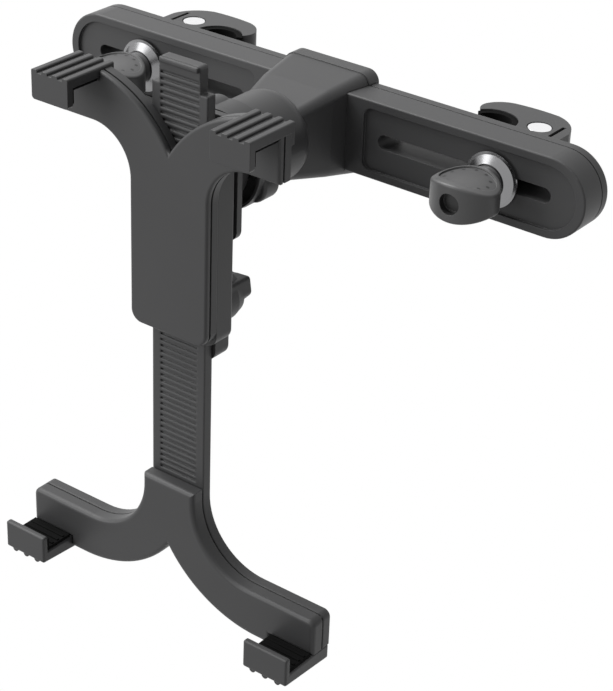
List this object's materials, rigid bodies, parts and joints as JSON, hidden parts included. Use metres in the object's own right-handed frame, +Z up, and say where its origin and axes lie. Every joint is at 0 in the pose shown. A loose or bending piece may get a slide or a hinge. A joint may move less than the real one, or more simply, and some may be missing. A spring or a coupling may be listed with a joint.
{
  "type": "headrest tablet mount",
  "caption": "Tablet holder for car headrest posts: slotted bar with screw hooks, ball joint and a Y-shaped holder whose ratchet arm and rubber-lined claws grip the tablet.",
  "frame": {"origin": "midway between the axes of the two headrest posts, at the bar's mid height", "axes": "+X along the bar, +Z up along the posts, -Y toward the person who watches the tablet"},
  "size_m": [0.2212, 0.1303, 0.2034],
  "materials": {
    "body_plastic": "fine matte texture",
    "seat_plastic": "smooth",
    "pad_rubber": "ribbed, matte",
    "steel": "zinc plated",
    "bright_steel": "turned and polished"
  },
  "bodies": {
    "bar": {"bar_front_shell": "body_plastic", "bar_back_cover": "body_plastic", "bar_screws": "steel", "bracket_housing": "body_plastic", "bracket_back_plate": "body_plastic", "bracket_screws": "steel"},
    "friction_seat": {"socket_rear_cup": "seat_plastic", "socket_front_ring": "seat_plastic"},
    "ball": {"ball_stud": "body_plastic", "adapter_plate": "body_plastic", "hub_washer": "steel", "hub_screw": "steel"},
    "lock_ring": {"ball_lock_nut": "body_plastic"},
    "holder": {"holder_front_cover": "body_plastic", "holder_back_shell": "body_plastic", "holder_screws": "steel", "upper_claw_left": "body_plastic", "upper_claw_right": "body_plastic", "upper_pad_left": "pad_rubber", "upper_pad_right": "pad_rubber", "tab_pin": "steel"},
    "arm": {"rack_arm": "body_plastic", "lower_front_plate": "body_plastic", "lower_arm_screws": "steel", "lower_claw_left": "body_plastic", "lower_claw_right": "body_plastic", "lower_pad_left": "pad_rubber", "lower_pad_right": "pad_rubber"},
    "arm_lock": {"lock_knob": "body_plastic", "lock_bolt": "steel"},
    "release": {"release_tab": "body_plastic"},
    "left_carriage": {"clamp_washer_left": "bright_steel"},
    "left_screw": {"clamp_knob_left": "body_plastic", "clamp_bolt_left": "steel"},
    "left_hook": {"clamp_hook_left": "body_plastic", "post_pad_left": "pad_rubber", "cross_dowel_left": "bright_steel"},
    "right_carriage": {"clamp_washer_right": "bright_steel"},
    "right_screw": {"clamp_knob_right": "body_plastic", "clamp_bolt_right": "steel"},
    "right_hook": {"clamp_hook_right": "body_plastic", "post_pad_right": "pad_rubber", "cross_dowel_right": "bright_steel"}
  },
  "joints": [
    {"name": "ball_roll", "type": "hinge", "parent": "bar", "child": "friction_seat", "pos_m": [0, -0.0586, 0.0012], "axis": [0, 1, 0], "continuous": true},
    {"name": "ball_tilt", "type": "hinge", "parent": "friction_seat", "child": "ball", "pos_m": [0, -0.0586, 0.0012], "axis": [1, 0, 0], "range_deg": [-12, 12]},
    {"name": "holder_spin", "type": "hinge", "parent": "ball", "child": "holder", "pos_m": [0, -0.0586, 0.0012], "axis": [0, 1, 0], "continuous": true},
    {"name": "lock_nut_turn", "type": "hinge", "parent": "bar", "child": "lock_ring", "pos_m": [0, -0.0656, 0.0012], "axis": [0, 1, 0], "continuous": true},
    {"name": "arm_slide", "type": "slide", "parent": "holder", "child": "arm", "axis": [0, 0, 1], "range_m": [-0.0184, 0.0575]},
    {"name": "lock_knob_turn", "type": "hinge", "parent": "holder", "child": "arm_lock", "pos_m": [0, -0.074, -0.0495], "axis": [0, -1, 0], "range_deg": [-120, 360]},
    {"name": "release_tab_press", "type": "hinge", "parent": "holder", "child": "release", "pos_m": [0, -0.086, -0.054], "axis": [1, 0, 0], "range_deg": [-1, 5]},
    {"name": "left_carriage_slide", "type": "slide", "parent": "bar", "child": "left_carriage", "axis": [-1, 0, 0], "range_m": [-0.041, 0.019]},
    {"name": "left_knob_turn", "type": "hinge", "parent": "left_carriage", "child": "left_screw", "pos_m": [-0.0752, -0.03, 0], "axis": [0, -1, 0], "range_deg": [0, 1800]},
    {"name": "left_hook_draw", "type": "slide", "parent": "left_carriage", "child": "left_hook", "axis": [0, 1, 0], "range_m": [0, 0.004]},
    {"name": "right_carriage_slide", "type": "slide", "parent": "bar", "child": "right_carriage", "axis": [1, 0, 0], "range_m": [-0.041, 0.019]},
    {"name": "right_knob_turn", "type": "hinge", "parent": "right_carriage", "child": "right_screw", "pos_m": [0.0752, -0.03, 0], "axis": [0, -1, 0], "range_deg": [0, 1800]},
    {"name": "right_hook_draw", "type": "slide", "parent": "right_carriage", "child": "right_hook", "axis": [0, 1, 0], "range_m": [0, 0.004]}
  ],
  "couplings": [
    {"joint": "left_knob_turn", "follows": "left_hook_draw", "rad_per_m": 7850},
    {"joint": "right_knob_turn", "follows": "right_hook_draw", "rad_per_m": 7850}
  ]
}
